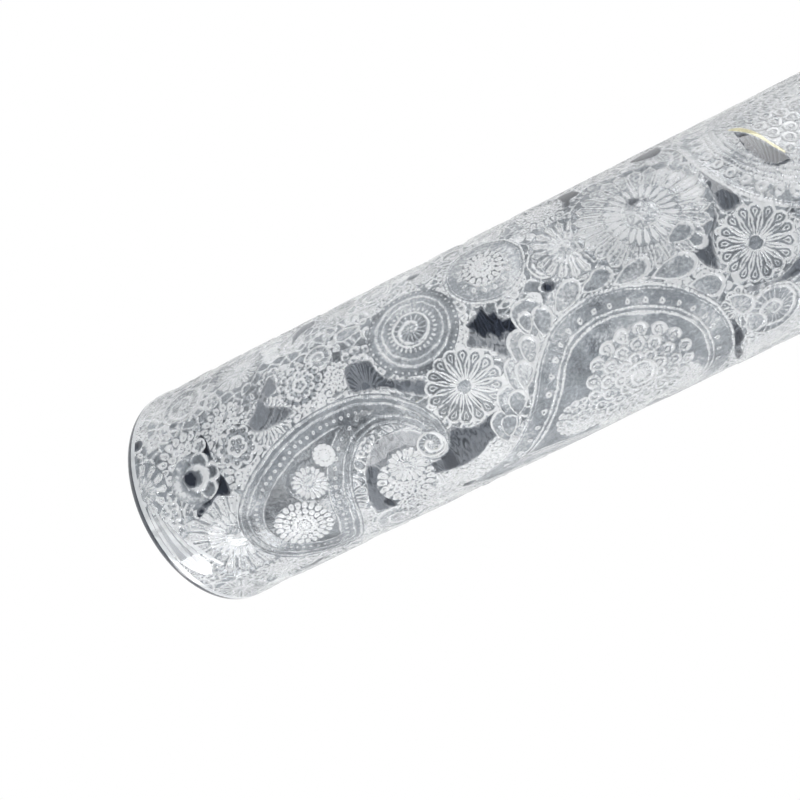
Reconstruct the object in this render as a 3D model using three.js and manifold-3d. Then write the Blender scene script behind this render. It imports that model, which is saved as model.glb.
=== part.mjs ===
// Clay texture roller: one solid rod of clear acrylic, engraved all round with a
// paisley pattern. Rolled over soft clay, it leaves the pattern standing up.
// Millimetres, +Z up. The rod lies along X, and its middle is at the origin.
import * as THREE from 'three';
import { mergeVertices } from 'three/addons/utils/BufferGeometryUtils.js';
import Module from 'manifold-3d';

// The rod
const rodLength = 165;
const rodDiameter = 25;
const rodFlats = 24; // narrow flats that stand for the round side; one lies underneath
const endRound = 0.8; // round on the rim of each end
const endRoundSteps = 3;

// The engraving
const plainBand = 1.2; // smooth band left between the pattern and each end
const engravedDepth = 0.4;
const repeatCount = 2; // times that the pattern repeats along the rod

// The motifs
const rosetteDiameter = 7;
const rosetteValley = 4.6; // across the notches between two petals
const rosettePetals = 16;
const daisyDiameter = 10.6;
const daisyValley = 6;
const daisyEye = 3;
const daisyPetals = 12;
const hookLength = 20; // hooked paisley, along the rod
const dropLength = 20; // drop-shaped paisley, along the rod
const fringeLength = 2.3; // one leaf of the fringe round the drop paisley
const fringeWidth = 1.6;
const roseDiameter = 8; // rose inside the drop paisley
const roseValley = 5;
const rosePetals = 6;
const medallionDiameter = 19;
const medallionBand = 2.8; // width of its engraved border
const curlDiameter = 7.4; // small curled paisley
const curlBand = 1.2;
const sprigDiameter = 3.6; // small five-petalled flower
const sprigValley = 1.6;
const sprigPetals = 5;

const acrylic = new THREE.MeshStandardMaterial({
  color: 0xe6eaee, roughness: 0.12, metalness: 0, transparent: true, opacity: 0.4,
});

const rodRadius = rodDiameter / 2;
const turn = Math.PI * 2;
const circumference = turn * rodRadius;
const patternRepeat = (rodLength - plainBand * 2) / repeatCount;

// Places of the motifs: share of one repeat along the rod, share of the turn upwards
const rosettePlaceShares = [[0.385, -0.018], [0.733, -0.017]];
const daisyPlaceShare = [0.651, 0.07];
const hookPlaceShare = [0.085, -0.064];
const dropPlaceShare = [0.565, -0.102];
const medallionPlaceShare = [0.841, 0.106];
const curlPlaceShare = [0.363, 0.071];
const sprigPlaceShares = [[0.063, 0.025], [0.122, 0.038]];

// Outlines of the paisleys: shares of the motif's length, first along the rod, then upwards
const hookOuterShares = [
  [0.375, -0.39], [0.2, -0.36], [0.05, -0.24], [-0.015, -0.075], [0.015, 0.09], [0.12, 0.21],
  [0.275, 0.305], [0.45, 0.365], [0.65, 0.38], [0.825, 0.34], [0.96, 0.25], [1.045, 0.13],
  [1.06, 0.01], [1.01, -0.075], [0.945, -0.085], [0.905, -0.03], [0.95, 0.06], [0.9, 0.14],
  [0.8, 0.185], [0.7, 0.165], [0.615, 0.09], [0.55, -0.02], [0.51, -0.14], [0.465, -0.26],
];
const hookInnerShares = [
  [0.075, -0.15], [0.065, 0], [0.14, 0.11], [0.275, 0.2], [0.45, 0.245], [0.625, 0.255],
  [0.71, 0.235], [0.625, 0.18], [0.54, 0.085], [0.475, -0.05], [0.43, -0.2], [0.35, -0.315],
  [0.225, -0.31], [0.125, -0.24],
];
const dropOuterShares = [
  [-0.95, -0.27], [-0.87, -0.2], [-0.7, -0.11], [-0.525, 0.075], [-0.385, 0.29], [-0.25, 0.41],
  [-0.05, 0.45], [0.15, 0.405], [0.325, 0.305], [0.44, 0.16], [0.485, -0.025], [0.465, -0.225],
  [0.36, -0.39], [0.17, -0.49], [-0.06, -0.51], [-0.3, -0.45], [-0.55, -0.36], [-0.78, -0.33],
];
const dropInnerShares = [
  [-0.55, -0.11], [-0.45, 0.05], [-0.375, 0.16], [-0.275, 0.25], [-0.15, 0.315], [-0.025, 0.33],
  [0.1, 0.305], [0.2, 0.25], [0.285, 0.15], [0.33, 0.025], [0.325, -0.1], [0.265, -0.23],
  [0.125, -0.35], [-0.075, -0.38], [-0.3, -0.32], [-0.48, -0.22],
];
const fringePlaceShares = [
  [-0.55, 0.165], [-0.47, 0.25], [-0.4, 0.35], [-0.29, 0.435], [-0.14, 0.495], [0, 0.495],
  [0.15, 0.45], [0.35, 0.38], [0.45, 0.24], [0.55, 0.115],
];

// Points that a curved outline is cut with
const hookOuterSteps = 26;
const hookInnerSteps = 13;
const dropOuterSteps = 22;
const dropInnerSteps = 15;
const medallionSteps = 14;
const curlSteps = 8;
const leafSteps = 4;
const eyeSteps = 6;

// Reach of a pocket's wedge, as shares of the rod's radius
const wedgeInnerShare = 0.6;
const wedgeOuterShare = 2;

const wasm = await Module();
wasm.setup();

// A closed geometry as a manifold solid
function toSolid(geometry) {
  const bare = geometry.clone();
  bare.deleteAttribute('normal');
  bare.deleteAttribute('uv');
  const merged = mergeVertices(bare);
  return new wasm.Manifold(new wasm.Mesh({
    numProp: 3,
    vertProperties: new Float32Array(merged.attributes.position.array),
    triVerts: new Uint32Array(merged.index.array),
  }));
}

// A manifold solid as a geometry
function toGeometry(solid) {
  const mesh = solid.getMesh();
  const geometry = new THREE.BufferGeometry();
  geometry.setAttribute('position', new THREE.BufferAttribute(mesh.vertProperties, mesh.numProp));
  geometry.setIndex(new THREE.BufferAttribute(mesh.triVerts, 1));
  return geometry;
}

// A turned solid along X. Its flats touch the true circle of each radius from outside,
// so the flat underneath lies as low as the round rod does.
function turned(profile) {
  const flatToCorner = 1 / Math.cos(turn / rodFlats / 2);
  const points = profile.map(([radius, along]) => new THREE.Vector2(radius * flatToCorner, along));
  const geometry = new THREE.LatheGeometry(points, rodFlats, turn / rodFlats / 2);
  geometry.rotateZ(-Math.PI / 2);
  return toSolid(geometry);
}

// A plain cylinder along X, from one flat end to the other
function cylinder(radius, length) {
  return turned([[0, -length / 2], [radius, -length / 2], [radius, length / 2], [0, length / 2]]);
}

// The rod before it is engraved, with a quarter round on the rim of each end
function plainRod() {
  const profile = [[0, -rodLength / 2]];
  for (const side of [-1, 1]) {
    for (let step = 0; step <= endRoundSteps; step += 1) {
      const share = side < 0 ? step / endRoundSteps : 1 - step / endRoundSteps;
      const angle = share * turn / 4;
      profile.push([
        rodRadius - endRound + endRound * Math.sin(angle),
        side * (rodLength / 2 - endRound + endRound * Math.cos(angle)),
      ]);
    }
  }
  profile.push([0, rodLength / 2]);
  return turned(profile);
}

// Points of a motif from shares of its length
function scaled(shares, length) {
  return shares.map(([along, up]) => new THREE.Vector2(along * length, up * length));
}

// A smooth closed outline, anticlockwise through points that are given clockwise
function smooth(points, steps) {
  const curve = new THREE.CatmullRomCurve3(points.map((p) => new THREE.Vector3(p.x, p.y, 0)), true);
  const outline = curve.getSpacedPoints(steps).slice(0, steps);
  return outline.reverse().map((p) => new THREE.Vector2(p.x, p.y));
}

function circle(diameter, steps) {
  return Array.from({ length: steps }, (_, step) => {
    const angle = step / steps * turn;
    return new THREE.Vector2(Math.cos(angle), Math.sin(angle)).multiplyScalar(diameter / 2);
  });
}

// A ring between two circles as one pocket
function ring(diameter, band, steps) {
  return [{ outline: circle(diameter, steps), hole: circle(diameter - band * 2, steps) }];
}

// A flower as one pocket: pointed petals round a centre, with the eye left standing
function flower(diameter, valley, eye, count) {
  const outline = Array.from({ length: count * 2 }, (_, index) => {
    const angle = index / count * turn / 2;
    const reach = (index % 2 ? valley : diameter) / 2;
    return new THREE.Vector2(Math.cos(angle), Math.sin(angle)).multiplyScalar(reach);
  });
  return [{ outline, hole: eye > 0 ? circle(eye, eyeSteps) : null }];
}

// A leaf of the fringe, which points away from the middle of the paisley
function leaf(centre) {
  const along = centre.clone().normalize();
  const across = new THREE.Vector2(-along.y, along.x);
  const outline = circle(1, leafSteps).map((point) => centre.clone()
    .addScaledVector(across, point.x * fringeLength)
    .addScaledVector(along, point.y * fringeWidth));
  return { outline };
}

// Every pocket of each motif, round the motif's own middle
const rosette = flower(rosetteDiameter, rosetteValley, 0, rosettePetals);
const daisy = flower(daisyDiameter, daisyValley, daisyEye, daisyPetals);
const sprig = flower(sprigDiameter, sprigValley, 0, sprigPetals);
const hook = [{
  outline: smooth(scaled(hookOuterShares, hookLength), hookOuterSteps),
  hole: smooth(scaled(hookInnerShares, hookLength), hookInnerSteps),
}];
const drop = [
  {
    outline: smooth(scaled(dropOuterShares, dropLength), dropOuterSteps),
    hole: smooth(scaled(dropInnerShares, dropLength), dropInnerSteps),
  },
  ...scaled(fringePlaceShares, dropLength).map(leaf),
  ...flower(roseDiameter, roseValley, 0, rosePetals),
];
const medallion = ring(medallionDiameter, medallionBand, medallionSteps);
const curl = ring(curlDiameter, curlBand, curlSteps);

// Every motif of one repeat, with its place
const placedMotifs = [
  ...rosettePlaceShares.map((place) => ({ motif: rosette, place })),
  ...sprigPlaceShares.map((place) => ({ motif: sprig, place })),
  { motif: daisy, place: daisyPlaceShare },
  { motif: hook, place: hookPlaceShare },
  { motif: drop, place: dropPlaceShare },
  { motif: medallion, place: medallionPlaceShare },
  { motif: curl, place: curlPlaceShare },
];

// A pocket as a wedge that points at the axis: its outline is laid round the rod,
// and its sides run from inside the rod to well outside it
function wedge({ outline, hole }, along, up) {
  const shape = new THREE.Shape(outline);
  if (hole) shape.holes.push(new THREE.Path(hole));
  const geometry = new THREE.ExtrudeGeometry(shape, { depth: 1, bevelEnabled: false });
  const position = geometry.attributes.position;
  for (let index = 0; index < position.count; index += 1) {
    const angle = (position.getY(index) + up) / rodRadius;
    const radius = rodRadius * (position.getZ(index) > 0 ? wedgeOuterShare : wedgeInnerShare);
    position.setXYZ(
      index,
      position.getX(index) + along,
      radius * Math.sin(angle),
      radius * Math.cos(angle),
    );
  }
  return toSolid(geometry);
}

// All pockets of the pattern. Each repeat is joined by a second one, half a repeat
// further along and half a turn round the rod.
function allWedges() {
  let solid = null;
  for (let half = -1; half <= repeatCount * 2; half += 1) {
    const start = -rodLength / 2 + plainBand + half * patternRepeat / 2;
    const side = Math.abs(half % 2) * circumference / 2;
    for (const { motif, place } of placedMotifs) {
      const along = start + place[0] * patternRepeat;
      const up = side + place[1] * circumference;
      for (const pocket of motif) {
        const next = wedge(pocket, along, up);
        solid = solid ? solid.add(next) : next;
      }
    }
  }
  return solid;
}

// The rod with every pocket cut to the same depth, and none beside the ends
function engravedRod() {
  const band = cylinder(rodRadius * wedgeOuterShare * 2, rodLength - plainBand * 2);
  const core = cylinder(rodRadius - engravedDepth, rodLength);
  const pockets = allWedges().intersect(band).subtract(core);
  return plainRod().subtract(pockets);
}

const rod = new THREE.Mesh(toGeometry(engravedRod()), acrylic);
rod.name = 'texture_roller_rod';

const roller = new THREE.Group();
roller.add(rod);

export default roller;
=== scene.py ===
import math
from functools import partialmethod

import bmesh
import bpy
import numpy as np
from mathutils import Matrix, Vector
from mathutils.geometry import delaunay_2d_cdt
from mathutils.kdtree import KDTree


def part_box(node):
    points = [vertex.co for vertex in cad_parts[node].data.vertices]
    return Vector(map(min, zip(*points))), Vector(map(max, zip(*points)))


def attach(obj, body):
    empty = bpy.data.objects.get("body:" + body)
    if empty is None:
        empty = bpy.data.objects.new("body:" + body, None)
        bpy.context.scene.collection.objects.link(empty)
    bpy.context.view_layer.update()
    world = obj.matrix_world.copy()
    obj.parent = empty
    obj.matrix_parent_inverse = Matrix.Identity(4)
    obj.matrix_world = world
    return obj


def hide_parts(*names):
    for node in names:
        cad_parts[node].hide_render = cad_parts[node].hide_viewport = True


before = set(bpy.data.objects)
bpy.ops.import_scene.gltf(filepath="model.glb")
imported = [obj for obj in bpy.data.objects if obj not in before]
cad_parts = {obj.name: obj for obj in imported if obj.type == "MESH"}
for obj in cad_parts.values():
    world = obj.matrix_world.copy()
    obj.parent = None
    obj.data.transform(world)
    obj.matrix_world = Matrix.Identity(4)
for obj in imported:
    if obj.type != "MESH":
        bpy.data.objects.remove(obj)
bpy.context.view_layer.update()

MM = 0.001
ROD_NODE = "texture_roller_rod"
ROD_LOW, ROD_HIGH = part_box(ROD_NODE)

# The rod, in millimetres from here on
LENGTH = (ROD_HIGH[0] - ROD_LOW[0]) / MM
RADIUS = (ROD_HIGH[2] - ROD_LOW[2]) / 2 / MM
TURN = 2 * math.pi
GIRTH = TURN * RADIUS
END_ROUND = 0.8
PLAIN_BAND = 1.2
REPEATS = 2
REPEAT = (LENGTH - 2 * PLAIN_BAND) / REPEATS

# The engraving: one repeat is a strip half the girth high, and the strip on the far side
# is the same one moved on by half a repeat. Neighbours are the moves to its copies.
STRIP = GIRTH / 2
NEIGHBOURS = [(0, 0), (REPEAT, 0), (-REPEAT, 0), (REPEAT / 2, STRIP), (REPEAT / 2, -STRIP),
              (-REPEAT / 2, STRIP), (-REPEAT / 2, -STRIP)]

# How far the strip's left edge lies to the right of the drawing's
DRAWING_START = 3.1

# Its mesh: the points' spacing, how near the grid comes to an outline, how near two points
# are one, how near the rim or middle line an outline is put on it, and how far past the
# strip figures count
SPACING = 0.5
CLEARANCE = 0.2
MERGE = 0.002
SNAP = 0.04
SNAP_LINES = np.array([REPEAT / 2, STRIP / 2])
MARGIN = 2.0
UNSET = -9.0

# The relief fades out over this length before each plain band. The rim's round has so many
# steps and painted shade this dark, and the flat end has a ring this many rounds in.
FADE = 0.3
RIM_STEPS = 6
INNER_RING = 1.2
RIM_GLOOM = 0.85

# The filling: its seed, how close its figures stand as a share of their sizes, and how pale
# they are at least and at most, which they are from this height on. How pale they are is
# painted light: least along the strip's middle line, most towards its rims along the rod's sides.
SEED = 11
PACKED = 0.86
PALE_LEAST, PALE_MOST, PALE_HEIGHT = 0.17, 0.42, 12.0

# Kinds of figure
PLAIN, ROSETTE, DAISY, FLUFFY, LEAF, HOOK, DROP, SPIRAL, BEAD, BOWL, CLUSTER, STRING, LACE = range(13)

# How deep the notches between scallops are, the drop formula's greatest height, a leaf's
# width to its length, the height of the ripples on petals and rings, where petals start,
# and how far each ring of petals is turned on, in petals
NOTCH = 0.09
FULLEST = 0.77
LEAF_WIDTH_SHARE = 0.6
PETAL_RIPPLE, RING_RIPPLE = 0.04, 0.05
PETAL_START = 0.4
RING_TURN = 0.37


# Curves
def spline(points, steps):
    """A closed Catmull-Rom curve: each span is the cubic that leaves a point along the line
    between its two neighbours."""
    p = np.asarray(points, float)
    t = np.linspace(0, 1, steps, endpoint=False)[None, :, None]
    a, b, c, d = (np.roll(p, shift, 0)[:, None, :] for shift in (1, 0, -1, -2))
    curve = 0.5 * (2 * b + (c - a) * t + (2 * a - 5 * b + 4 * c - d) * t ** 2
                   + (3 * b - a - 3 * c + d) * t ** 3)
    return curve.reshape(-1, 2)


def within(x, y, curve):
    """True where a ray to the right crosses the closed curve an odd number of times."""
    odd = np.zeros(x.shape, bool)
    for (ax, ay), (bx, by) in zip(curve, np.roll(curve, -1, 0)):
        if ay == by:
            continue
        crosses = (ay > y) != (by > y)
        odd ^= crosses & (x < (bx - ax) * (y - ay) / (by - ay) + ax)
    return odd


def inward(x, y, curve):
    """Distance inwards from a closed curve, less than nothing outside it, how far along the
    curve its nearest point lies, and the curve's length."""
    nearest = np.full(x.shape, np.inf)
    place = np.zeros(x.shape)
    along = 0.0
    for (ax, ay), (bx, by) in zip(curve, np.roll(curve, -1, 0)):
        dx, dy = bx - ax, by - ay
        span = math.hypot(dx, dy)
        if span == 0:
            continue
        t = np.clip(((x - ax) * dx + (y - ay) * dy) / span ** 2, 0, 1)
        gap = (x - ax - t * dx) ** 2 + (y - ay - t * dy) ** 2
        closer = gap < nearest
        nearest = np.where(closer, gap, nearest)
        place = np.where(closer, along + t * span, place)
        along += span
    distance = np.sqrt(nearest)
    return np.where(within(x, y, curve), distance, -distance), place, along


# Outlines of the two large paisleys, as shares of their length
PAISLEY_LENGTH = 20.0
HOOK_SHARES = (
    (0.375, -0.39), (0.2, -0.36), (0.05, -0.24), (-0.015, -0.075), (0.015, 0.09), (0.12, 0.21),
    (0.275, 0.305), (0.45, 0.365), (0.65, 0.38), (0.825, 0.34), (0.96, 0.25), (1.045, 0.13),
    (1.06, 0.01), (1.01, -0.075), (0.945, -0.085), (0.905, -0.03), (0.95, 0.06), (0.9, 0.14),
    (0.8, 0.185), (0.7, 0.165), (0.615, 0.09), (0.55, -0.02), (0.51, -0.14), (0.465, -0.26))
DROP_SHARES = (
    (-0.95, -0.27), (-0.87, -0.2), (-0.7, -0.11), (-0.525, 0.075), (-0.385, 0.29), (-0.25, 0.41),
    (-0.05, 0.45), (0.15, 0.405), (0.325, 0.305), (0.44, 0.16), (0.485, -0.025), (0.465, -0.225),
    (0.36, -0.39), (0.17, -0.49), (-0.06, -0.51), (-0.3, -0.45), (-0.55, -0.36), (-0.78, -0.33))
CIRCLE_SHARES = [(0.485 * math.cos(a), 0.485 * math.sin(a))
                 for a in np.linspace(0, TURN, 36, endpoint=False)]


# Radial forms: depth in millimetres against the share of the radius, centre to outline
FORMS = {
    ROSETTE: ((0, 0.1, 0.25, 0.6, 0.75, 0.88, 1), (-0.08, -0.1, -0.18, -0.18, -0.06, -0.1, -0.02)),
    DAISY: ((0, 0.15, 0.25, 0.5, 0.9, 1), (-0.05, -0.08, -0.18, -0.12, -0.14, -0.02)),
    FLUFFY: ((0, 0.3, 0.7, 1), (-0.02, -0.06, -0.1, -0.18)),
    LEAF: ((0, 0.6, 0.86, 1), (-0.1, -0.14, -0.04, -0.02)),
    CLUSTER: ((0, 0.3, 0.7, 1), (-0.02, -0.06, -0.1, -0.18)),
    SPIRAL: ((0, 0.2, 0.5, 0.8, 1), (-0.04, -0.1, -0.13, -0.07, -0.02)),
    BEAD: ((0, 0.5, 0.8, 1), (-0.02, -0.06, -0.16, -0.3)),
    BOWL: ((0, 0.3, 0.4, 0.55, 0.9, 1), (-0.4, -0.36, -0.02, -0.2, -0.08, -0.25)),
}

# Banded forms: depth in millimetres against the distance in from the outline
BANDS = {
    HOOK: ((0, 0.3, 1.2, 2.2, 3, 4), (-0.02, -0.06, -0.09, -0.06, -0.13, -0.18)),
    DROP: ((0, 0.3, 1.3, 2.1, 2.7, 3.5, 4.5), (-0.02, -0.06, -0.13, -0.06, -0.06, -0.13, -0.18)),
    STRING: ((0, 0.6), (-0.1, -0.05)),
}

# How far apart beads stand along a band, and how many ribs of the rope go to one bead
BEAD_SPACING = {HOOK: 0.8, DROP: 1.75, STRING: 0.62}
RIBS = 4


class Figure:
    """One engraved figure. Its own coordinates are shares of its half width and half
    height, so that it ends at 1, or for a banded figure the distance in from its outline
    and a count of beads along it."""

    def __init__(self, kind, centre, half, turn=0.0, count=0, outline=None, pale=0.0):
        self.kind, self.turn, self.count, self.pale = kind, turn, count, pale
        self.centre = np.array(centre, float)
        self.half = np.array([half, half] if np.isscalar(half) else half, float)
        self.outline = self.round_outline() if outline is None else outline

    def round_outline(self):
        steps = max(int(TURN * self.half.mean() / SPACING), 12)
        petals, phase = self.count, 0.0
        if self.kind == CLUSTER:
            petals, phase = 4 * self.count + 1, RING_TURN * self.count
        scalloped = self.kind == ROSETTE or self.kind == CLUSTER and self.count > 2
        if scalloped:
            steps = 4 * petals
        a = np.arange(steps) / steps * TURN
        x, y = np.cos(a), np.sin(a)
        if scalloped:
            aside = (a / TURN * petals + phase + 0.5) % 1 - 0.5
            reach = 1 - NOTCH * (2 * aside) ** 2
            return self.placed(np.stack([x, y], 1) * reach[:, None] * self.half)
        return self.placed(np.stack([x, y * self.fullness(x)], 1) * self.half)

    def fullness(self, x):
        """A leaf is a drop: the circle's height times a square root that falls to nothing
        at its tail."""
        return np.sqrt(np.clip((1 + x) / 2, 0.02, 1)) / FULLEST if self.kind == LEAF else 1

    def placed(self, points):
        c, s = math.cos(self.turn), math.sin(self.turn)
        return points @ np.array([[c, s], [-s, c]]) + self.centre

    def moved(self, shift):
        return Figure(self.kind, self.centre + shift, self.half, self.turn, self.count,
                      self.outline + shift, self.pale)

    def own(self, points):
        """Own coordinates of points of one triangle after another, three rows each."""
        if self.kind == PLAIN:
            d, *_ = inward(points[:, 0], points[:, 1], self.outline)
            return np.column_stack([points - self.centre, np.maximum(d, 0)])
        if self.kind in BANDS:
            d, along, length = inward(points[:, 0], points[:, 1], self.outline)
            beads = max(round(length / BEAD_SPACING[self.kind]), 1)
            along = (along / length).reshape(-1, 3)
            behind = along.max(1, keepdims=True) - along > 0.5
            along = (along + behind).ravel() * beads
            return np.stack([d, along], 1)
        c, s = math.cos(self.turn), math.sin(self.turn)
        own = (points - self.centre) @ np.array([[c, -s], [s, c]]) / self.half
        own[:, 1] /= self.fullness(own[:, 0])
        return own

    def depth(self, own):
        if self.kind == PLAIN:
            return np.zeros(len(own))
        if self.kind in BANDS:
            return np.interp(own[:, 0], *BANDS[self.kind])
        r = np.hypot(own[:, 0], own[:, 1])
        depth = np.interp(r, *FORMS[self.kind])
        if self.kind == DAISY:
            angle = np.arctan2(own[:, 1], own[:, 0])
            depth += PETAL_RIPPLE * np.cos(self.count * angle) * (r > PETAL_START)
        if self.kind in (FLUFFY, CLUSTER):
            depth += RING_RIPPLE * np.cos(TURN * r * self.count)
        return depth


def spot(across, down):
    """A place on the strip, from where it lies on the drawing: across from the drawing's
    left edge, and down from the line along the top of the rod."""
    return np.array([across - DRAWING_START, -down])


def banded(kind, shares, centre, scale=1.0, pale=0.0, bold=0):
    """A large figure whose outline is a smooth curve through shares of its length."""
    curve = spline(np.array(shares) * PAISLEY_LENGTH * scale + spot(*centre), steps=4)
    return Figure(kind, spot(*centre), 1, count=bold, outline=curve, pale=pale)


def flower(kind, across, down, radius, count, pale=0.0, turn=0.0):
    return Figure(kind, spot(across, down), radius, turn, count, pale=pale)


def gap(across, down, length, width, lean=0.0, gloom=0.7):
    """An oval left clear, leaning by so many degrees up to the right, and how dark its painted shade is."""
    return Figure(PLAIN, spot(across, down), (length / 2, width / 2), math.radians(lean), gloom)


def opening(gloom, *points):
    """A place left clear inside a smooth outline through points of the drawing."""
    curve = spline([spot(x, y) for x, y in points], steps=3)
    return Figure(PLAIN, curve.mean(0), 1, count=gloom, outline=curve)


# Clear places between the figures: how dark their painted shade is, and the points round
# them on the drawing. A gloom less than nothing is a painted yellow glint on the edge of a gap.
OPENINGS = (
    (1, (10.2, -5.6), (10.7, -4.1), (10.6, -1.8), (11.1, -0.8), (11, 0.9), (9.8, 0.5), (8.8, 1), (7.3, 1.5),
     (7.4, 0.8), (8.3, 0.4), (9, -0.4), (9.8, -0.8), (10.1, -1.9), (9.7, -3.1), (8.7, -4), (9.4, -4.9)),
    (0.45, (17.9, -8.1), (18.5, -6.4), (16.9, -5.4), (19, -4.1), (19.2, -3.3), (16.8, -2.9), (15.2, -3.3),
     (14.8, -4.4), (15.8, -5.2), (16.6, -6.6)),
    (0.55, (25.2, -5.1), (27.5, -4.7), (27.9, -3.4), (28.6, -2.3), (30.1, -1.4), (31.5, -0.8), (31.1, 0.6),
     (30.1, 0.2), (28.2, -1.4), (26.4, -2.1), (25, -2.6)),
    (0.7, (31.6, 4.2), (32.6, 4.9), (33.8, 5.2), (36, 4.8), (36, 6), (35.4, 7.1), (34.2, 7.5), (32.8, 8.5),
     (31.4, 8.9), (30, 8.8), (28.6, 8.4), (27.5, 8), (28, 6.8), (29.2, 6.8), (30.5, 6)),
    (0.45, (37.5, -3.9), (39, -3.8), (40.7, -2), (39.9, -0.7), (38.6, 1.6), (38.3, 0), (37.4, -0.9),
     (36.2, -1.7), (36.9, -2.8)),
    (1.0, (36.9, -3.5), (37.9, -3.7), (38.9, -4.6), (39.1, -3.5), (39.9, -3.6), (39.9, -2.6), (41.1, -2.1),
     (40.6, -0.7), (39.8, -1.3), (39.3, -0.6), (38.5, -1.7), (37.9, -1.5), (37.4, -2.5)),
    (0.6, (57.5, -0.6), (59.2, -1.2), (59.6, -2.6), (60.5, -3.6), (60.7, -2.2), (59.3, -0.4), (59.1, 2),
     (57.9, 1.2)),
    (0.65, (62, -8), (62.3, -6.5), (62.6, -4.9), (63.1, -3.4), (63.1, -2.4), (62, -2), (61.3, -2.6),
     (61.3, -3.9), (61.6, -5.8)),
    (1.0, (58.6, 7), (59.3, 8.4), (59.7, 9.8), (59.3, 11), (59.9, 12.8), (59.3, 13.7), (58.7, 11.4)),
    (0.6, (60.4, 4.6), (62, 5), (64, 5), (66.2, 4), (66.5, 5.4), (64.8, 5.8), (62.6, 5.5), (61, 5.3)),
    (0.85, (62.4, -11.2), (63.1, -10.8), (63, -9), (62.2, -8.3), (61.9, -9.8)),
    (0.8, (50.6, -14.4), (52, -14), (52.4, -12.4), (51.2, -12), (50.9, -11), (50, -11), (50.5, -12.6)),
    (0.8, (58.4, -14), (61.4, -14.6), (61.6, -13.4), (60.8, -12.2), (59.4, -12.4)),
    (0.7, (20.9, -14), (22.6, -14.4), (22.9, -13), (21.4, -12.2), (20.4, -11)),
)
IN_HOOK = (
    (0.4, (22.9, 4.4), (23.9, 3.1), (25.6, 2.2), (27.2, 2.3), (28.6, 3), (29.2, 3.7), (28.5, 4.1),
     (28.1, 5.1), (27.6, 6.4), (25.5, 5), (24.2, 5)),
    (0.6, (22.9, 4.3), (24.2, 4.6), (23.6, 5.7), (23, 6.6), (23.1, 7.9), (23.2, 9.4), (22.4, 10),
     (21.2, 9.4), (21.3, 7.6), (22, 6.2)),
    (1.0, (22.5, 8.3), (23.2, 8), (23.3, 9.7), (22.7, 10), (22.2, 9.1)),
)
# The first opening of the medallion is a painted yellow glint on the edge of its dark crescent.
IN_MEDALLION = (
    (-1.0, (66.7, -10.2), (67.6, -9.7), (68.15, -8), (68.3, -6.4), (68.7, -4.8), (68.3, -5), (68, -6.8),
     (67.5, -8.7)),
    (0.9, (66.9, -9.5), (67.6, -8.2), (68, -6.3), (68.5, -4.8), (68.6, -3.8), (67.4, -3.8), (66.7, -4.5),
     (66.3, -5.8), (66.3, -7.1), (66.6, -8.5)),
)


# Clear ovals: the place, the length and width, the lean in degrees and how dark their painted shade is
GAPS = (
    (4.1, 3.6, 8, 2, -82, 0.2), (11.6, 13.9, 3.4, 0.8, 20, 1), (4.1, 2.6, 7, 0.4, -86, 0),
    (4.8, 3.6, 6, 0.35, -80, 0), (5.6, 4.8, 4.5, 0.4, -74, 0), (3.3, 1.6, 6, 0.3, -90, 0),
    (3.4, -7.7, 1.2, 1.2, 0, 1), (45, -3.3, 1.4, 1.1, 0, 1), (42.9, -0.7, 1.2, 0.8),
    (55, -1.6, 1.2, 0.9, 0, 1), (34, -12.4, 1.6, 1), (7.4, -8, 1, 0.7),
    (47.4, 13.6, 1.8, 0.9), (30, 12.4, 1.6, 1), (14.4, -6.5, 1.6, 0.5, 70), (12.9, -6.1, 1.2, 0.4, 60))

# Clusters along the lower edge, pale partly as painted light where that edge is brightest: the
# place, the radius and the rings
EDGE_CLUSTERS = (
    (31, 11.4, 3.2, 5), (35.8, 10.6, 2.9, 4), (40.2, 12.6, 3, 4), (27, 12.6, 2.8, 4),
    (33.6, 14.6, 2.6, 3), (39, 9, 2, 3), (62.6, 12.6, 2.9, 4), (67.2, 11.4, 3.1, 4),
    (72, 12.8, 3, 4), (66.9, 7.6, 2, 3))

# The fringe of leaves: the place, the length and width, and the lean in degrees
LEAVES = (
    (36.1, 6.8, 4, 3, 70), (37.6, 4.9, 4, 3, 68), (39.3, 2.7, 4, 3, 64), (40.6, 0.8, 4, 3, 72),
    (42.2, -1.4, 4, 3.2, 78), (36.9, 8.3, 2.2, 1.7, 70), (36.4, 7, 2.8, 1.8, 70),
    (38, 5.1, 2.9, 1.9, 68), (39.7, 2.9, 2.9, 1.9, 64), (41, 1.1, 3, 2, 72), (41.8, -1.3, 2.2, 1.5, 86),
    (43.2, -0.6, 3.2, 2, 78), (45.9, -1.7, 3.8, 2.1, 33), (48.9, -1.8, 3.6, 1.9, 12),
    (51.9, -1.1, 4.2, 1.9, 8), (60.8, 8.5, 2.8, 2.2, -70), (59.8, 5.8, 3.2, 2, -48),
    (57.4, 2.8, 3.6, 2.2, -26), (55.4, 0.2, 4.4, 2.3, -4), (58.2, -1.3, 2.4, 1.5, -60),
    (57.2, -2.3, 3, 1.8, 10))


def leaf(across, down, length, width, lean=0.0):
    return Figure(LEAF, spot(across, down), (length / 2, width / 2), math.radians(lean), pale=0.3)


# The filling from large to small: how many tries, the radius from and to, and the kinds
FILLING = (
    (270, 2.2, 2.9, (ROSETTE, DAISY, FLUFFY, CLUSTER, SPIRAL)),
    (720, 1.3, 1.9, (ROSETTE, FLUFFY, CLUSTER, LEAF, SPIRAL)),
    (1560, 0.8, 1.1, (CLUSTER, LEAF, BEAD)),
    (1440, 0.4, 0.6, (CLUSTER, LEAF, BEAD)))


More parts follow.
